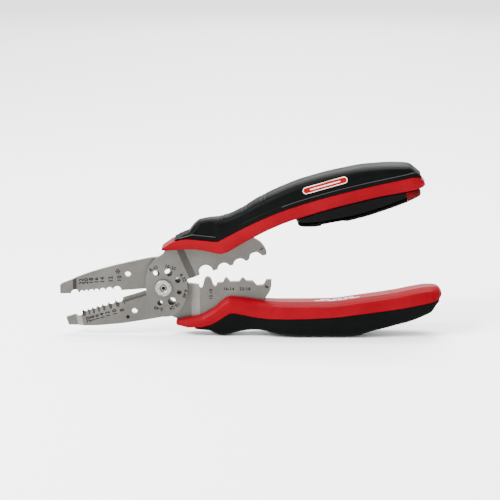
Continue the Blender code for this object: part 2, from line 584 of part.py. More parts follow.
def make_electronics(parent, mats):
    x0, x1, z0, z1 = BOARD
    slab("circuit_board", (x0, -7.0, z0), (x1, 7.0, z1), parent, mats["board"], 1.0)
    slab("detector_chip", (x0 + 3, -2.4, z0 - 1.6), (x0 + 8, 2.4, z0 - GAP), parent, mats["chip"], 0.2)
    slab("sense_strip", (x0 + 1, -3.0, z1 + GAP), (x1 - 1, 3.0, z1 + GAP + 0.3), parent, mats["copper"], 0.8)
    turned("buzzer", ((0, 0), (5.2, 0), (5.2, -1.5), (4.7, -1.9), (1.1, -1.9), (1.1, -1.3), (0, -1.3)),
           parent, mats["chip"], at=(x0 + 16.5, 0, z0 - GAP), steps=32)
    led = ((0, 0), (1.75, 0), (1.75, 0.8), (LED_R, 0.8), (LED_R, 3.9), (1.2, 4.6), (0.7, 5.0), (0, 5.2))
    turned("alert_led", led, parent, mats["led"], axis="X", at=(LED_X, 0, LED_Z), steps=20)
    for k, x in enumerate(CELLS_X):
        turned(f"battery_cell_{k + 1}", ((0, 0), (CELL_R - 1.2, 0), (CELL_R - 1.2, 0.3), (CELL_R, 0.5),
                                         (CELL_R, CELL_H - 0.3), (CELL_R - 0.3, CELL_H), (0, CELL_H)),
               parent, mats["cell"], at=(x, 0, 20.1), steps=32)
    slab("battery_link", (98.0, -2.0, 19.5), (113.0, 2.0, 19.8), parent, mats["contact"], 0.6)
    slab("battery_contact_front", (95.6, -6.5, 22.5), (103.6, 2.5, 22.75), parent, mats["contact"], 0.6)
    slab("battery_contact_rear", (108.0, 3.0, 22.85), (125.5, 6.5, 23.1), parent, mats["contact"], 0.6)


def make_housing_screws(parent, material):
    """The two screws that hold the housing under the handle, from inside."""
    for name, x in zip(("housing_screw_front", "housing_screw_rear"), SCREWS_X):
        top = pod_top(x) - POD_WALL - GAP
        turned(name, ((0, -1.3), (0.5, -1.3), (0.5, -1.8), (1.7, -1.8), (2.1, -1.3), (2.1, 0),
                      (1.25, 0), (1.25, 6.4), (0, 7.4)), parent, material, at=(x, 0, top), steps=20)


def make_screw_holes(core, parent):
    for k, x in enumerate(SCREWS_X):
        cut(core, turned(f"core_screw_hole_{k}", ((0, -7), (1.6, -7), (1.6, 7.4), (0, 8.4)), parent,
                         at=(x, 0, 24.3)))


# Assembly -----------------------------------------------------------------------------------

def main():
    for obj in list(bpy.data.objects):
        bpy.data.objects.remove(obj, do_unlink=True)

    steel = make_material("tool_steel", (0.42, 0.41, 0.39), 0.42, 1.0)
    bright = make_material("bright_steel", (0.6, 0.6, 0.58), 0.3, 1.0)
    dark = make_material("dark_steel", (0.2, 0.2, 0.2), 0.4, 1.0)
    red = make_material("red_plastic", (0.62, 0.03, 0.03), 0.35)
    black = make_material("black_rubber", (0.02, 0.021, 0.022), 0.55)
    gloss = make_material("black_plastic", (0.012, 0.013, 0.013), 0.2)
    mats = {
        "board": make_material("green_board", (0.03, 0.2, 0.08), 0.5),
        "chip": make_material("chip_black", (0.03, 0.03, 0.03), 0.5),
        "copper": make_material("copper_foil", (0.7, 0.35, 0.2), 0.35, 1.0),
        "contact": make_material("nickel_contact", (0.7, 0.68, 0.62), 0.3, 1.0),
        "cell": make_material("cell_steel", (0.7, 0.7, 0.68), 0.25, 1.0),
        "led": make_material("led_red", (0.8, 0.1, 0.08), 0.15),
    }
    badge = make_material("badge_red", (0.7, 0.04, 0.04), 0.3)
    lens = make_material("lens_red", (0.45, 0.01, 0.02), 0.1, alpha=0.6)

    tool = empty("tool_frame", location=(-TOOL_CENTRE_X, 0, PIVOT_HEIGHT))
    upper = empty("upper_lever_pivot", tool, turn_y=-OPEN_ANGLE)
    battery_frame = empty("battery_cover_frame", upper)

    make_front_lever(upper, steel)
    make_rear_lever(tool, steel)
    make_pivot(tool, bright, dark)
    core = make_core("upper_handle_core", UPPER, upper, red, upper_slots())
    make_screw_holes(core, upper)
    make_grip("upper_grip", UPPER, upper, black)
    make_core("lower_handle_core", LOWER, tool, red, lower_slots())
    make_grip("lower_grip", LOWER, tool, black)
    make_badge(upper, badge)
    make_housing(upper, gloss)
    make_covers(upper, battery_frame, gloss)
    make_lens(upper, lens)
    make_electronics(upper, mats)
    make_housing_screws(upper, bright)


main()
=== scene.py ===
import math
from bisect import bisect_right

import bmesh
import bpy
from mathutils import Matrix, Vector


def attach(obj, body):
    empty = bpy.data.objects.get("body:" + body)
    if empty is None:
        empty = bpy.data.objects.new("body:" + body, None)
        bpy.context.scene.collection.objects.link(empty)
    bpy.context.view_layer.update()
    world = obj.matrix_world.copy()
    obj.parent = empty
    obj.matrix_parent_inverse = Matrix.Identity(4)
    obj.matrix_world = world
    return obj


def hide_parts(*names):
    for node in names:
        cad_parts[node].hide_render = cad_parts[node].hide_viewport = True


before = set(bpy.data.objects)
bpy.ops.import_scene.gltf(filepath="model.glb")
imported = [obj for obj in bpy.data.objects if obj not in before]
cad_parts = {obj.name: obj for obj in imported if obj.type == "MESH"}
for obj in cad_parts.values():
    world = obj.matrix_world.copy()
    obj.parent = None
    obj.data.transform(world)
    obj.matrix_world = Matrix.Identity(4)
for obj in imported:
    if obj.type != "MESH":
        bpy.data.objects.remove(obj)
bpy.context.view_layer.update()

# Millimetres round the pivot: X from the jaws to the handle ends, Y to the back, Z up.
MM = 0.001
OPEN_ANGLE = 13.5
PIVOT = Vector((-53.95, 0.0, 30.2)) * MM
LOWER_FRAME = Matrix.Translation(PIVOT) @ Matrix.Scale(MM, 4)
UPPER_FRAME = (Matrix.Translation(PIVOT) @ Matrix.Rotation(math.radians(-OPEN_ANGLE), 4, "Y")
               @ Matrix.Scale(MM, 4))
GAP, GRIP_WALL, PLATE, COVER = 0.3, 2.5, 3.2, 1.5
EDGE_ROUND = 0.12 * MM

UPPER = {
    "inner": ((4.8, 23.5), (13.0, 22.3), (20.4, 21.0), (27.6, 19.0), (33.5, 16.4), (40.9, 13.3),
              (44.5, 13.7), (52.4, 16.4), (62.0, 19.3), (74.3, 22.5), (86.3, 24.6),
              (101.8, 25.8), (117.0, 26.6), (140.0, 26.9), (159.0, 25.9), (167.0, 25.5),
              (170.5, 25.4), (172.6, 26.2)),
    "seam": ((4.8, 24.7), (7.5, 26.0), (10.0, 26.9), (14.4, 27.9), (17.0, 28.1), (20.4, 27.9),
             (26.7, 26.0), (33.0, 23.9), (40.4, 21.7), (44.2, 22.8), (49.0, 24.2), (58.8, 26.9),
             (68.5, 29.4), (85.0, 32.2), (101.0, 33.6), (117.0, 34.3), (133.0, 34.5),
             (165.0, 33.7), (168.5, 33.1), (170.3, 31.9), (171.6, 29.9), (172.6, 27.6)),
    "outer": ((14.4, 28.9), (18.3, 29.8), (21.2, 30.6), (23.5, 30.9), (25.7, 32.6), (28.2, 34.5),
              (32.4, 36.2), (36.8, 36.1), (44.9, 35.2), (49.3, 35.2), (57.3, 36.6), (70.4, 40.7),
              (82.6, 43.5), (99.9, 46.1), (116.6, 46.8), (133.1, 46.4), (148.5, 44.4),
              (160.6, 41.7), (165.5, 40.0), (169.5, 35.4), (171.4, 33.0)),
    "width": ((4.8, 6.0), (12.0, 7.2), (25.0, 7.7), (40.0, 8.1), (55.0, 9.4), (70.0, 11.4),
              (85.0, 12.2), (130.0, 12.4), (150.0, 12.0), (162.0, 11.2), (168.0, 9.6),
              (171.0, 7.4), (172.6, 5.0)),
    "grip": (14.4, 171.2),
    "crown": 0.15,
}
LOWER = {
    "inner": ((7.6, -21.4), (12.0, -21.1), (18.0, -20.4), (23.3, -19.4), (26.3, -17.7),
              (32.8, -13.8), (37.6, -9.3), (41.5, -7.6), (45.5, -7.8), (53.6, -8.8), (62.5, -10.1),
              (71.6, -10.7), (84.0, -10.8), (103.0, -10.6), (122.0, -8.1), (143.0, -4.9),
              (154.0, -2.6), (165.6, -0.9), (169.5, -1.2), (172.6, -2.8)),
    "seam": ((7.6, -22.6), (9.5, -23.9), (12.0, -24.5), (18.0, -24.7), (22.0, -24.5), (26.6, -23.7),
             (29.3, -22.7), (33.3, -20.7), (37.8, -17.5), (41.5, -15.4), (44.0, -15.3),
             (51.9, -16.7), (60.4, -17.8), (66.0, -18.1), (78.4, -18.0), (104.5, -16.9),
             (119.5, -15.0), (134.3, -13.0), (149.2, -10.8), (160.0, -8.7), (167.0, -7.4),
             (170.0, -6.6), (171.6, -5.6), (172.6, -4.2)),
    "outer": ((19.5, -25.7), (24.0, -26.5), (28.2, -27.0), (32.2, -29.0), (35.8, -30.2),
              (38.0, -30.2), (40.6, -29.8), (44.6, -28.5), (49.1, -27.4), (53.0, -26.7),
              (57.6, -26.4), (62.6, -26.8), (66.0, -27.9), (71.0, -28.9), (78.0, -29.8),
              (86.0, -30.2), (115.5, -30.2), (119.5, -29.9), (122.8, -29.1), (126.8, -27.6),
              (138.0, -24.7), (145.4, -22.6), (152.9, -20.5), (162.2, -16.7), (166.3, -14.6),
              (167.8, -12.6), (169.1, -10.4), (171.3, -7.8)),
    "width": ((7.6, 6.0), (12.0, 7.0), (18.0, 7.2), (42.0, 7.8), (55.0, 9.0), (70.0, 11.4),
              (85.0, 12.3), (120.0, 12.4), (150.0, 12.2), (160.0, 11.8), (166.0, 10.8),
              (169.5, 9.0), (171.5, 7.0), (172.6, 4.8)),
    "grip": (19.5, 171.2),
    "crown": 2.0,
}
# Grip section from its rim to its back: share of half width, share of height.
SKIN = ((1.0, 0.0), (1.012, 0.1), (1.02, 0.25), (1.02, 0.4), (1.02, 0.5), (1.012, 0.6), (0.99, 0.7),
        (0.955, 0.79), (0.9, 0.87), (0.81, 0.93), (0.7, 0.97), (0.56, 0.992), (0.42, 1.0), (0.2, 1.0))


# Shapes -------------------------------------------------------------------------------------

def smooth(points, x):
    """Height at x of a smooth line through points, with no overshoot between them."""
    spans = [(b[1] - a[1]) / (b[0] - a[0]) for a, b in zip(points, points[1:])]
    i = min(max(bisect_right([p[0] for p in points], x) - 1, 0), len(spans) - 1)

    def slope(k):
        if k in (0, len(spans)):
            return spans[min(k, len(spans) - 1)]
        before, after = spans[k - 1], spans[k]
        return 0.0 if before * after <= 0 else 2 * before * after / (before + after)

    (x0, z0), (x1, z1) = points[i], points[i + 1]
    t = min(max((x - x0) / (x1 - x0), 0.0), 1.0)
    run = x1 - x0
    return ((2 * t**3 - 3 * t**2 + 1) * z0 + (t**3 - 2 * t**2 + t) * run * slope(i)
            + (3 * t**2 - 2 * t**3) * z1 + (t**3 - t**2) * run * slope(i + 1))


def even(start, end, step):
    count = max(2, math.ceil((end - start) / step))
    return [start + (end - start) * k / count for k in range(count + 1)]


def place(obj, material, body, replaces=()):
    obj.data.materials.clear()
    obj.data.materials.append(material)
    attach(obj, body)
    if replaces:
        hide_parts(*replaces)
    return obj


def make_object(name, bm, matrix, sharp=38.0):
    """Object from a bmesh drawn in millimetres round the pivot."""
    bmesh.ops.remove_doubles(bm, verts=bm.verts, dist=0.0005)
    bmesh.ops.recalc_face_normals(bm, faces=bm.faces)
    bmesh.ops.transform(bm, matrix=matrix, verts=bm.verts)
    mesh = bpy.data.meshes.new(name)
    bm.to_mesh(mesh)
    bm.free()
    mesh.shade_smooth()
    mesh.set_sharp_from_angle(angle=math.radians(sharp))
    obj = bpy.data.objects.new(name, mesh)
    bpy.context.collection.objects.link(obj)
    return obj


def loft_mesh(rings):
    bm = bmesh.new()
    rows = [[bm.verts.new(p) for p in ring] for ring in rings]
    for a, b in zip(rows, rows[1:]):
        for i, vert in enumerate(a):
            j = (i + 1) % len(a)
            bm.faces.new((vert, a[j], b[j], b[i]))
    bm.faces.new(rows[0])
    bm.faces.new(rows[-1])
    return bm


def flat_mesh(outlines, y):
    """Flat filled outlines in the XZ plane, facing the front."""
    bm = bmesh.new()
    for loop in outlines:
        verts = [bm.verts.new((x, y, z)) for x, z in loop]
        for a, b in zip(verts, verts[1:] + verts[:1]):
            bm.edges.new((a, b))
    bmesh.ops.triangle_fill(bm, edges=bm.edges, use_beauty=True, normal=(0, -1, 0))
    return bm


def mirror_ring(x, half):
    return [(x, y, z) for y, z in half] + [(x, -y, z) for y, z in reversed(half)]


def band(value, low, high, soft):
    """1 inside a range, easing to 0 over the soft distance outside it."""
    out = max(low - value, value - high, 0.0) / soft
    t = max(0.0, 1.0 - out)
    return t * t * (3 - 2 * t)


# Materials ----------------------------------------------------------------------------------

def node_material(name, dark, light, rough, metallic=0.0, scale=90.0, grain=900.0, bump=0.12,
                  wear=0.25, specular=0.5):
    """Procedural finish: clouded colour, uneven roughness, fine grain and light wear."""
    mat = bpy.data.materials.new(name)
    mat.use_nodes = True
    tree = mat.node_tree
    tree.nodes.clear()
    new, link = tree.nodes.new, tree.links.new
    out, shader = new("ShaderNodeOutputMaterial"), new("ShaderNodeBsdfPrincipled")
    link(shader.outputs[0], out.inputs[0])
    coords = new("ShaderNodeTexCoord")
    clouds, fine = new("ShaderNodeTexNoise"), new("ShaderNodeTexNoise")
    clouds.inputs["Scale"].default_value = scale
    clouds.inputs["Detail"].default_value = 5.0
    fine.inputs["Scale"].default_value = grain
    fine.inputs["Detail"].default_value = 4.0
    for noise in (clouds, fine):
        link(coords.outputs["Object"], noise.inputs["Vector"])
    ramp = new("ShaderNodeValToRGB")
    ramp.color_ramp.elements[0].position, ramp.color_ramp.elements[1].position = 0.35, 0.68
    ramp.color_ramp.elements[0].color = (*dark, 1)
    ramp.color_ramp.elements[1].color = (*light, 1)
    link(clouds.outputs[0], ramp.inputs[0])
    worn = new("ShaderNodeMix")
    worn.data_type = "RGBA"
    amount = new("ShaderNodeMapRange")
    amount.inputs[1].default_value, amount.inputs[2].default_value = 0.45, 0.75
    amount.inputs[4].default_value = wear
    link(fine.outputs[0], amount.inputs[0])
    link(amount.outputs[0], worn.inputs[0])
    link(ramp.outputs[0], worn.inputs[6])
    worn.inputs[7].default_value = (*[min(1.0, c * 1.5 + 0.01) for c in light], 1)
    link(worn.outputs[2], shader.inputs["Base Color"])
    gloss = new("ShaderNodeMapRange")
    gloss.inputs[3].default_value, gloss.inputs[4].default_value = rough * 0.82, min(1, rough * 1.2)
    link(clouds.outputs[0], gloss.inputs[0])
    link(gloss.outputs[0], shader.inputs["Roughness"])
    relief = new("ShaderNodeBump")
    relief.inputs["Strength"].default_value = bump
    relief.inputs["Distance"].default_value = 0.0001
    link(fine.outputs[0], relief.inputs["Height"])
    link(relief.outputs[0], shader.inputs["Normal"])
    shader.inputs["Metallic"].default_value = metallic
    shader.inputs["Specular IOR Level"].default_value = specular
    return mat


def principled(mat):
    return mat.node_tree.nodes["Principled BSDF"]


STEEL = ((0.058, 0.055, 0.050), (0.081, 0.077, 0.070), 0.44, 0.6, 60, 1500, 0.2, 0.25)


def lever_steel_painted_light(name, matrix, bands):
    """Ground steel with painted light: its base colour is darkened into painted shade or lightened into a
    painted highlight on the sloped faces of its pressed bends and notch bevels.

    Each band along the lever is (start, end, gain, facing), in millimetres.
    """
    mat = node_material(name, *STEEL, specular=0.2)
    tree, shader = mat.node_tree, principled(mat)
    new, link = tree.nodes.new, tree.links.new

    def calc(operation, *values):
        node = new("ShaderNodeMath")
        node.operation = operation
        for socket, value in zip(node.inputs, values):
            if isinstance(value, (int, float)):
                socket.default_value = value
            else:
                link(value, socket)
        return node.outputs[0]

    def inside(value, low, high):
        return calc("MULTIPLY", calc("GREATER_THAN", value, low), calc("LESS_THAN", value, high))

    axis = (matrix.to_3x3() @ Vector((1, 0, 0))).normalized()
    coords, along = new("ShaderNodeTexCoord"), new("ShaderNodeVectorMath")
    along.operation = "DOT_PRODUCT"
    along.inputs[1].default_value = axis
    link(coords.outputs["Object"], along.inputs[0])
    x = calc("DIVIDE", calc("SUBTRACT", along.outputs["Value"], axis.dot(PIVOT)), MM)
    shape, local, parts = new("ShaderNodeNewGeometry"), new("ShaderNodeVectorTransform"), new(
        "ShaderNodeSeparateXYZ")
    local.vector_type, local.convert_from, local.convert_to = "NORMAL", "WORLD", "OBJECT"
    link(shape.outputs["True Normal"], local.inputs[0])
    link(local.outputs[0], parts.inputs[0])
    tilted = inside(parts.outputs["Y"], -0.992, -0.25)
    gain = 1.0
    for start, end, amount, facing in bands:
        mask = calc("MULTIPLY", tilted, inside(x, start, end))
        if facing:
            mask = calc("MULTIPLY", mask, calc("GREATER_THAN", parts.outputs["X"], -0.02))
        gain = calc("ADD", gain, calc("MULTIPLY", mask, amount - 1.0))
    # Scale the base colour by the gain: painted shade below 1, painted highlight above 1.
    painted_light_colour = new("ShaderNodeVectorMath")
    painted_light_colour.operation = "SCALE"
    link(shader.inputs["Base Color"].links[0].from_socket, painted_light_colour.inputs[0])
    link(gain, painted_light_colour.inputs["Scale"])
    link(painted_light_colour.outputs[0], shader.inputs["Base Color"])
    return mat


# Gains for the painted light on the levers' sloped faces: SHADE paints shade, LIT paints a highlight.
SHADE, LIT = 0.4, 2.0
# Front lever: painted highlight on the nose slope, painted shade on the right-facing notch bevels of its
# jaw, painted shade on the sloped faces from -26.5 to -11 mm and on the bend.
front_lever_painted_light = lever_steel_painted_light("steel_front_lever_painted_light", UPPER_FRAME, (
    (-58.2, -54.0, LIT, False), (-53.9, -26.5, 0.22, True), (-26.5, -11.0, SHADE, False),
    (14, 27, 0.6, False)))
# Rear lever: painted shade on the nose slope and a painted highlight on the bend.
rear_lever_painted_light = lever_steel_painted_light("steel_rear_lever_painted_light", LOWER_FRAME, ((-57.2, -54.2, SHADE, False),
                                                           (14, 27, 1.5, False)))
nut_steel = node_material("steel_plated", (0.10, 0.10, 0.098), (0.25, 0.25, 0.24), 0.4, 0.7, 900,
                          1800, 0.5, 0.4, specular=0.3)
dark_steel = node_material("steel_blackened", (0.02, 0.02, 0.02), (0.04, 0.04, 0.04), 0.4, 0.8)
red = node_material("red_moulded", (0.122, 0.0003, 0.0036), (0.152, 0.0005, 0.0048), 0.36, 0, 50,
                    1400, 0.08, 0.02, specular=0.025)
rubber = node_material("rubber_soft", (0.0008, 0.0011, 0.0010), (0.0014, 0.0018, 0.0017), 0.46, 0,
                       70, 1600, 0.25, 0.05, specular=0.03)
# Lighter, glossier rubber for the moulded beads: its lighter colour is a painted highlight along the lip
# and the panel creases.
bead_rubber_highlight = node_material("rubber_bead_painted_highlight", (0.006, 0.007, 0.007), (0.011, 0.012, 0.012), 0.3, 0, 70,
                            1600, 0.2, 0.1, specular=0.4)
black = node_material("black_moulded", (0.0005, 0.0006, 0.0006), (0.0009, 0.0010, 0.0010), 0.3, 0,
                      60, 1500, 0.08, 0.04, specular=0.04)
# Dark ink for the printed marks, also used for the painted shade in the nut's socket.
ink_and_shade = node_material("ink_and_painted_shade", (0.0022, 0.0020, 0.0018), (0.005, 0.0045, 0.004), 0.6, 0, 400, 2500,
                    0.1, 0.1, specular=0.05)
print_white = node_material("print_pale", (0.55, 0.45, 0.42), (0.75, 0.66, 0.62), 0.5, 0, 400, 2500,
                            0.1, 0.2)
badge_red = node_material("badge_print", (0.16, 0.0004, 0.0006), (0.2, 0.0006, 0.001), 0.35, 0, 200,
                          1500, 0.05, 0.03, specular=0.04)
board = node_material("board_green", (0.008, 0.06, 0.02), (0.016, 0.1, 0.04), 0.4)
copper = node_material("copper_strip", (0.3, 0.13, 0.07), (0.4, 0.2, 0.1), 0.35, 1.0)
nickel = node_material("nickel_strip", (0.27, 0.26, 0.24), (0.36, 0.35, 0.32), 0.28, 1.0)
chip = node_material("chip_moulded", (0.006, 0.006, 0.006), (0.012, 0.012, 0.012), 0.55)
lens_mat = node_material("lens_tinted", (0.045, 0.0001, 0.0006), (0.075, 0.0002, 0.0012), 0.14, 0,
                         80, 900, 0.04, 0.03, specular=0.05)
principled(lens_mat).inputs["Transmission Weight"].default_value = 0.02
led_mat = node_material("lamp_epoxy", (0.35, 0.01, 0.012), (0.45, 0.02, 0.02), 0.12)
principled(led_mat).inputs["Transmission Weight"].default_value = 0.4

# CAD pieces that carry over with their finish -------------------------------------------------

CARRIED = {
    "front_lever": front_lever_painted_light, "rear_lever": rear_lever_painted_light, "pivot_bolt": nut_steel,
    "pivot_washer": dark_steel, "pivot_nut": nut_steel, "alert_led": led_mat,
    "circuit_board": board, "detector_chip": chip, "sense_strip": copper, "buzzer": chip, "battery_cell_1": nickel, "battery_cell_2": nickel,
    "battery_link": nickel, "battery_contact_front": nickel, "battery_contact_rear": nickel,
    "housing_screw_front": nut_steel, "housing_screw_rear": nut_steel,
    "sensor_housing": black, "upper_handle_core": red, "lower_handle_core": red,
}
for name, material in CARRIED.items():
    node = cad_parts[name]
    node.data.materials.clear()
    node.data.materials.append(material)


for name in ("front_lever", "rear_lever"):
    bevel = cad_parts[name].modifiers.new("edge_round", "BEVEL")
    bevel.width, bevel.segments = EDGE_ROUND, 1
    bevel.limit_method, bevel.angle_limit = "ANGLE", math.radians(50)

# Soft grips ---------------------------------------------------------------------------------

def spine_height(handle, x):
    start, end = handle["grip"]
    if not start < x < end:
        return 0.15
    return max(0.5 * abs(smooth(handle["outer"], x) - smooth(handle["seam"], x)) - 1.2, 0.15)


def skin_share(up):
    """Share of the half width at a share of the grip's height."""
    for (a, low), (b, high) in zip(SKIN, SKIN[1:]):
        if low <= up <= high and high > low:
            return a + (b - a) * (up - low) / (high - low)
    return SKIN[-2][0]


def near_line(x, z, a, b, soft):
    """1 on a segment, easing to 0 at the soft distance from it."""
    run, rise = b[0] - a[0], b[1] - a[1]
    t = min(max(((x - a[0]) * run + (z - a[1]) * rise) / (run * run + rise * rise), 0.0), 1.0)
    return band(math.hypot(x - a[0] - run * t, z - a[1] - rise * t), 0.0, 0.0, soft)


SKIN_STEPS = 36
CREASES = (((15.5, 29.0), (26.0, 29.6)), ((26.0, 29.6), (40.5, 24.4)), ((27.0, 30.4), (34.0, 36.0)))
RIDGES = (44.0, 46.2, 59.6, 61.8, 72.6, 75.0)


def grip_skin(handle, x, upper):
    """Half section of the skin, with its rim lip, front panel and finger ridges."""
    seam, outer = smooth(handle["seam"], x), smooth(handle["outer"], x)
    way = math.copysign(1, outer - seam)
    w, rim, outer = smooth(handle["width"], x), seam + GAP * way, outer - 0.05 * way
    tall = abs(outer - rim)
    lip = (2.5 if upper else 1.2) * min(1.0, tall / 6)
    near_lip = [(lip + d) / tall for d in (-0.45, -0.2, 0.0, 0.2, 0.45, 0.8) if 0 < lip + d < tall]
    levels = sorted({0.0, *(k / 26 for k in range(27)), *near_lip})
    skin = []
    for up in levels:
        above, z = tall * up, rim + (outer - rim) * up
        side = w * skin_share(up)
        step = min(max((above - lip) / 0.45, 0.0), 1.0) * band(x, 60 if upper else 50, 164, 12)
        sink = (0.6 if upper else 0.4) * step * (1 - up) ** 0.5
        if upper:
            crease = max(near_line(x, z, a, b, 0.95) for a, b in CREASES)
            sink += 0.7 * band(x, 17, 39, 4) * (1 - crease) * band(up, 0.0, 0.8, 0.15)
            groove = max(band(x, r, r, 0.7) for r in RIDGES)
            sink += 0.3 * groove * min(max((up - 0.55) / 0.25, 0.0), 1.0)
            z -= way * 0.3 * groove * min(max((up - 0.85) / 0.12, 0.0), 1.0)
        skin.append((side - sink, z))
    skin.append((0.2 * w, skin[-1][1]))
    return skin, rim, way, w


def make_grip(name, handle, matrix, body, upper):
    start, end = handle["grip"]
    rings = []
    for x in even(start, end, 0.4):
        skin, rim, way, w = grip_skin(handle, x, upper)
        lengths = [0.0]
        for (a, b), (c, d) in zip(skin, skin[1:]):
            lengths.append(lengths[-1] + math.hypot(c - a, d - b))
        even_skin, k = [], 0
        for n in range(SKIN_STEPS + 1):
            at = lengths[-1] * n / SKIN_STEPS
            while k < len(lengths) - 2 and lengths[k + 1] < at:
                k += 1
            t = (at - lengths[k]) / max(lengths[k + 1] - lengths[k], 1e-9)
            even_skin.append(tuple(p + (q - p) * t for p, q in zip(skin[k], skin[k + 1])))
        spine, foot = spine_height(handle, x) * way, w - GRIP_WALL + GAP
        lining = [(foot * 0.45, rim + spine), (foot - 0.8, rim + 0.6 * spine), (foot, rim)]
        rings.append(mirror_ring(x, lining + even_skin))
    obj = make_object(f"{name}_skin", loft_mesh(rings), matrix, 60)
    return place(obj, rubber, body, (name,))


make_grip("upper_grip", UPPER, UPPER_FRAME, "upper_lever", True)
make_grip("lower_grip", LOWER, LOWER_FRAME, "lower_lever", False)


# Covers and lens of the sensor housing ----------------------------------------------------------

POD_BOTTOM = ((90.0, 21.9), (90.8, 20.0), (92.4, 19.1), (96.0, 18.2), (103.3, 17.0), (111.0, 16.7),
              (122.0, 16.1), (130.0, 16.2), (145.5, 17.4), (153.4, 18.3), (161.5, 19.4),
              (168.9, 20.7))
POD_WIDTH = ((90.0, 4.8), (91.0, 7.4), (92.8, 9.2), (97.5, 10.2), (110.0, 10.6), (150.0, 10.4),
             (160.0, 9.8), (165.0, 8.8), (168.9, 6.4))
SPLIT, POD_END, LENS_END = 120.4, 159.8, 168.9
THUMB = (105.5, 119.2)


def cover_ring(x):
    low = smooth(POD_BOTTOM, x)
    rib = max(band(x, r, r, 0.55) for r in (119.3, 121.6))
    dip = 0.7 * band(x, *THUMB, 1.6) * (1 - rib)
    low += dip
    high = smooth(POD_BOTTOM, x) + COVER
    w = smooth(POD_WIDTH, x) - 0.1
    return mirror_ring(x, ((w * 0.3, low), (w * 0.6, low), (w * 0.8, low + 0.05), (w - 0.55, low + 0.2),
                           (w - 0.2, low + 0.42), (w - 0.02, high - 0.45), (w - 0.02, high - 0.3),
                           (w - 0.18, high - 0.15), (w - 0.3, high)))


def lens_ring(x):
    low, high, w = smooth(POD_BOTTOM, x), smooth(UPPER["inner"], x) - 0.45, smooth(POD_WIDTH, x)
    end = max(x - 167.6, 0.0) / 1.3
    low, high, w = low + 0.9 * end * end, high - 1.1 * end * end, w - 1.4 * end * end
    return mirror_ring(x, ((w * 0.55, low), (w - 1.2, low + 0.15), (w - 0.45, low + 0.55),
                           (w - 0.1, low + 1.2), (w, high - 0.9), (w - 0.15, high - 0.3), (w - 0.6, high)))


def pod_piece(name, ring, x_from, x_to, material, body, node):
    obj = make_object(name, loft_mesh([ring(x) for x in even(x_from, x_to, 0.35)]), UPPER_FRAME, 45)
    return place(obj, material, body, (node,))


pod_piece("battery_cover_shell", cover_ring, 90.75, SPLIT - 0.05, black, "battery_door",
          "battery_cover")
pod_piece("circuit_cover_shell", cover_ring, SPLIT + 0.05, POD_END, black, "upper_lever",
          "circuit_cover")
lens = pod_piece("alert_lens_shell", lens_ring, POD_END + 0.04, LENS_END, lens_mat, "upper_lever",
                 "alert_lens")
bore = bpy.data.objects.new("lens_bore", bpy.data.meshes.new("lens_bore"))
bm = bmesh.new()
along_pod = Matrix.Translation((POD_END, 0, 22.3)) @ Matrix.Rotation(math.pi / 2, 4, "Y")
bmesh.ops.create_cone(bm, cap_ends=True, segments=24, radius1=1.75, radius2=1.3, depth=5.4,
                      matrix=along_pod)
bmesh.ops.transform(bm, matrix=UPPER_FRAME, verts=bm.verts)
bm.to_mesh(bore.data)
bm.free()
bpy.context.collection.objects.link(bore)
bore.hide_render = True
drill = lens.modifiers.new("bore", "BOOLEAN")
drill.operation, drill.object, drill.solver = "DIFFERENCE", bore, "EXACT"
bpy.context.view_layer.update()
lens.data = bpy.data.meshes.new_from_object(lens.evaluated_get(bpy.context.evaluated_depsgraph_get()))
lens.modifiers.clear()
bpy.data.objects.remove(bore)

# Badge: a plain red plate with a pale rim and one plain line -------------------------------------

BADGE_AT, BADGE_SIZE, BADGE_TILT = (112.9, 41.9), (28.4, 4.3), 2.6
BADGE_LIFT, BADGE_PRINT_LIFT = 0.5, 0.56


def flank(handle, x, z, upper=True):
    """Half width of the grip's skin at a point on its flank."""
    skin = grip_skin(handle, x, upper)[0]
    for (a, low), (b, high) in zip(skin, skin[1:]):
        if low <= z <= high and high > low:
            return a + (b - a) * (z - low) / (high - low)
    return skin[0][0]


def badge_point(u, v, lift):
    tilt = math.radians(BADGE_TILT)
    x = BADGE_AT[0] + u * math.cos(tilt) - v * math.sin(tilt)
    z = BADGE_AT[1] + u * math.sin(tilt) + v * math.cos(tilt)
    return (x, -flank(UPPER, x, z) - lift, z)


def stadium(length, height, steps=96):
    r, reach = height / 2, (length - height) / 2
    line = []
    for k in range(steps):
        a = math.tau * k / steps
        line.append((math.copysign(reach, math.cos(a)) + r * math.cos(a), r * math.sin(a)))
    return line


def badge_layer(name, outline, lift, material):
    """A thin shape laid on the flank, its quads spanning from each outline to the next."""
    bm = bmesh.new()
    rows = [[bm.verts.new(badge_point(u, v, lift)) for u, v in row] for row in outline]
    for a, b in zip(rows, rows[1:]):
        for i in range(len(a) - 1):
            bm.faces.new((a[i], a[i + 1], b[i + 1], b[i]))
    return place(make_object(name, bm, UPPER_FRAME), material, "upper_lever")


def closed(line):
    return line + line[:1]


edge = closed(stadium(*BADGE_SIZE))
rows = [[(u * f, v * f) for u, v in edge] for f in (0.02, 0.4, 0.75, 1.0)]
plate = badge_layer("badge_plate", rows, BADGE_LIFT, badge_red)
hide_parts("handle_badge")
outer_edge, inner_edge = closed(stadium(28.2, 4.1)), closed(stadium(27.4, 3.3))
badge_layer("badge_rim", [outer_edge, inner_edge], BADGE_PRINT_LIFT, print_white)


badge_layer("badge_line", [[(-9.5 + 19.0 * k / 40, v) for k in range(41)] for v in (0.32, -0.32)],
            BADGE_PRINT_LIFT, print_white)

# Moulded beads on the upper grip ----------------------------------------------------------------

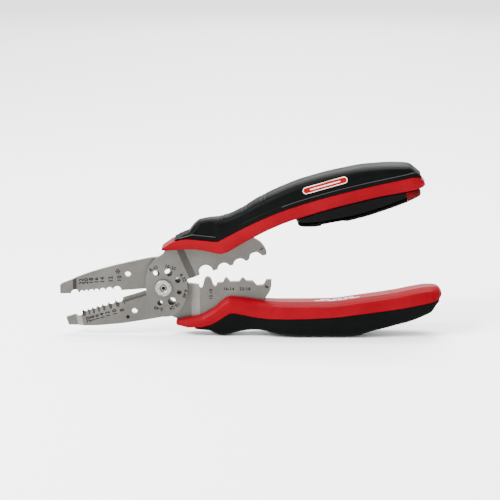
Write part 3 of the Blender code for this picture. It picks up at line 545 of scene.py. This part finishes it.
def bead(name, path, radius, side):
    """A thin moulded line along a path of (x, z) points on one flank of the upper grip."""
    rings = []
    for x, z in path:
        y = min(flank(UPPER, x, z) - 0.05, 12.6 - radius)
        rings.append([(x, side * (y + radius * math.cos(a)), z + radius * math.sin(a))
                      for a in (math.tau * k / 8 for k in range(8))])
    # The bead is real moulded relief; its lighter rubber paints the highlight that the lip or crease
    # catches.
    place(make_object(name, loft_mesh(rings), UPPER_FRAME), bead_rubber_highlight, "upper_lever")


def lip_line(x):
    return x, smooth(UPPER["seam"], x) + GAP + 2.5


panel = [(17.0 + 9.0 * k / 12, 29.2 + 0.5 * k / 12) for k in range(12)]
panel += [(26.0 + 13.5 * k / 18, 29.7 - 4.7 * k / 18) for k in range(19)]
for side, end in ((-1, "front"), (1, "back")):
    bead(f"upper_grip_lip_{end}", [lip_line(x) for x in even(84, 169.0, 1.0)], 0.26, side)
    bead(f"upper_grip_panel_{end}", panel, 0.3, side)


# Pale print on the inner face of the lower handle ----------------------------------------------

PRINT_LIFT = 0.14

def inner_top(x, y):
    """Height of the lower handle's crowned inner face."""
    w, inner = smooth(LOWER["width"], x), smooth(LOWER["inner"], x)
    thick = abs(smooth(LOWER["seam"], x) - inner)
    crown = min(LOWER["crown"], thick / 2 - 0.3)
    out = abs(y) / w
    for (a, high), (b, low) in (((0.0, 1.0), (0.35, 1.0)), ((0.35, 1.0), (0.66, 0.62)),
                                ((0.66, 0.62), (0.88, 0.08))):
        if out <= b:
            return inner + crown * (high + (low - high) * (out - a) / (b - a))
    return inner


def printed(name, rows):
    bm = bmesh.new()
    grid = [[bm.verts.new((x, y, inner_top(x, y) + PRINT_LIFT)) for x, y in row] for row in rows]
    for a, b in zip(grid, grid[1:]):
        for i in range(len(a) - 1):
            bm.faces.new((a[i], a[i + 1], b[i + 1], b[i]))
    return place(make_object(name, bm, LOWER_FRAME), print_white, "lower_lever")


def bar(name, x_from, x_to, y_from, y_to):
    xs = even(x_from, x_to, 1.0)
    printed(name, [[(x, y_from + (y_to - y_from) * k / 4) for x in xs] for k in range(5)])


for k in range(7):
    x_from, y_from = (94.0 + 7.2 * k, -2.4) if k < 4 else (97.6 + 7.2 * (k - 4), 0.4)
    bar(f"print_bar_{k}", x_from, x_from + 6.2, y_from, y_from + 1.0)

# Marks on the steel --------------------------------------------------------------------------

BOLD, WIRE_NUMBER, BOLT_NUMBERS_AT = 0.11, 3.6, 13.7

def mark(name, text, x, z, size, y, matrix, body, turn=0.0):
    """Number stamped on the steel: five shifted copies make it bold without swelling its outline."""
    curve = bpy.data.curves.new(name, "FONT")
    curve.body, curve.size, curve.space_character = text, size, 1.1
    curve.align_x, curve.align_y = "CENTER", "CENTER"
    obj = bpy.data.objects.new(name, curve)
    bpy.context.collection.objects.link(obj)
    lay = (Matrix.Translation((x, y, z)) @ Matrix.Rotation(math.radians(-turn), 4, "Y")
           @ Matrix.Rotation(math.pi / 2, 4, "X"))
    dg = bpy.context.evaluated_depsgraph_get()
    mesh = bpy.data.meshes.new_from_object(obj.evaluated_get(dg))
    bpy.data.objects.remove(obj)
    bold = bmesh.new()
    for k, (across, up) in enumerate(((0, 0), (1, 0), (-1, 0), (0, 1), (0, -1))):
        start = len(bold.verts)
        bold.from_mesh(mesh)
        bold.verts.ensure_lookup_table()
        bmesh.ops.translate(bold, vec=(BOLD * across, BOLD * up, 0.001 * k), verts=bold.verts[start:])
    bmesh.ops.transform(bold, matrix=matrix @ lay, verts=bold.verts)
    bold.to_mesh(mesh)
    bold.free()
    mesh.name = name
    flat = bpy.data.objects.new(name, mesh)
    bpy.context.collection.objects.link(flat)
    return place(flat, ink_and_shade, body)


FRONT_FACE = -(GAP / 2 + PLATE) - 0.02
REAR_FACE = GAP / 2 - 0.03
MID_FACE = -PLATE / 2 - 0.02
for k, (text, x) in enumerate(zip(("22", "20", "18", "16", "14", "12", "10"),
                                  (-51.3, -48.3, -45.2, -41.9, -38.2, -33.0, -27.6))):
    mark(f"mark_strip_upper_{k}", text, x, 3.1 + 0.08 * (x + 51), WIRE_NUMBER, REAR_FACE, LOWER_FRAME,
         "lower_lever", 90)
for k, (text, x) in enumerate(zip(("20", "18", "16", "14", "12", "10", "8"),
                                  (-50.6, -47.8, -44.9, -41.6, -37.9, -33.4, -28.6))):
    mark(f"mark_strip_lower_{k}", text, x, -9.0 + 0.05 * (x + 51), WIRE_NUMBER, FRONT_FACE,
         UPPER_FRAME, "upper_lever", 90)
for k, (text, angle) in enumerate(zip(("8-32", "10-32", "6-32", "4-40", "10-24", "5-40"),
                                      (116, 72, 28, -16, -60, -104))):
    a = math.radians(angle - OPEN_ANGLE)
    mark(f"mark_bolt_{k}", text, BOLT_NUMBERS_AT * math.cos(a), BOLT_NUMBERS_AT * math.sin(a), 2.8,
         FRONT_FACE, UPPER_FRAME, "upper_lever", angle - OPEN_ANGLE - 90)
for k, (text, x) in enumerate((("12-10", 29.4), ("16-14", 40.4), ("22-18", 50.6))):
    mark(f"mark_die_{k}", text, x, -1.2 if k else -4.6, 2.7, MID_FACE, LOWER_FRAME, "lower_lever",
         90 if k == 0 else 0)
mark("mark_hook_lower", "8", 64.2, 0.2, 3.2, MID_FACE, LOWER_FRAME, "lower_lever", 70)
mark("mark_hook_upper", "7", 64.5, 9.4, 3.2, MID_FACE, UPPER_FRAME, "upper_lever", -60)


def dot(name, x, z, radius, y, matrix, body, material=ink_and_shade, sides=24):
    ring = [(x + radius * math.cos(math.tau * k / sides), z + radius * math.sin(math.tau * k / sides))
            for k in range(sides)]
    return place(make_object(name, flat_mesh([ring], y), matrix), material, body)


for k in range(7):
    reach = 0.0 if k == 6 else 1.15
    dot(f"mark_stranded_{k}", -28.6 + reach * math.cos(k * math.pi / 3),
        9.6 + reach * math.sin(k * math.pi / 3), 0.46, REAR_FACE, LOWER_FRAME, "lower_lever")
dot("mark_solid", -26.2, -13.0, 1.15, FRONT_FACE, UPPER_FRAME, "upper_lever")
# A dark hex disc on the bolt end paints the shade inside the nut's socket.
dot("socket_shadow", 0, 0, 1.3, -(GAP * 1.5 + PLATE) - 1.03, LOWER_FRAME, "lower_lever", sides=6)

# Stage, light and camera ----------------------------------------------------------------------

floor_mesh = bpy.data.meshes.new("floor")
bm = bmesh.new()
bmesh.ops.create_grid(bm, x_segments=1, y_segments=1, size=6.0)
bm.to_mesh(floor_mesh)
bm.free()
floor = bpy.data.objects.new("floor", floor_mesh)
bpy.context.collection.objects.link(floor)
floor.location.z = -0.0002
floor_mat = bpy.data.materials.new("floor_pale")
floor_mat.use_nodes = True
floor_shader = floor_mat.node_tree.nodes["Principled BSDF"]
floor_shader.inputs["Base Color"].default_value = (0.93, 0.93, 0.93, 1)
floor_shader.inputs["Roughness"].default_value = 0.7
floor_mesh.materials.append(floor_mat)

world = bpy.data.worlds.new("studio")
world.use_nodes = True
world.node_tree.nodes["Background"].inputs[0].default_value = (1, 1, 1, 1)
world.node_tree.nodes["Background"].inputs[1].default_value = 1.9
bpy.context.scene.world = world


def area_light(name, at, size, power, aim=(0, 0, 0.05)):
    data = bpy.data.lights.new(name, "AREA")
    data.shape, data.size, data.energy = "DISK", size, power
    obj = bpy.data.objects.new(name, data)
    obj.location = at
    obj.rotation_euler = (Vector(aim) - Vector(at)).to_track_quat("-Z", "Y").to_euler()
    bpy.context.collection.objects.link(obj)


area_light("key_light", (-0.75, -0.5, 0.85), 0.6, 42)
area_light("top_light", (0.1, 0.35, 1.1), 0.8, 30)
area_light("back_light", (0.05, 1.25, 0.5), 0.7, 4.5)

azimuth, elevation, roll = map(math.radians, (1.0, 13.7, 0.2))
ahead = Vector((-math.sin(azimuth) * math.cos(elevation), math.cos(azimuth) * math.cos(elevation),
                -math.sin(elevation)))
right = Vector((math.cos(azimuth), math.sin(azimuth), 0))
target = PIVOT + Vector((53.55, 0, 25.0)) * MM
pose = Matrix((right, right.cross(ahead), -ahead)).transposed().to_4x4()
pose.translation = target - ahead * 1.5
camera_data = bpy.data.cameras.new("camera")
camera = bpy.data.objects.new("camera", camera_data)
bpy.context.collection.objects.link(camera)
camera.matrix_world = pose @ Matrix.Rotation(-roll, 4, "Z")
camera_data.sensor_width, camera_data.lens = 36, 174.1
camera_data.shift_x, camera_data.shift_y = 0.0007, -0.005
camera_data.clip_start = 0.01
bpy.context.scene.camera = camera
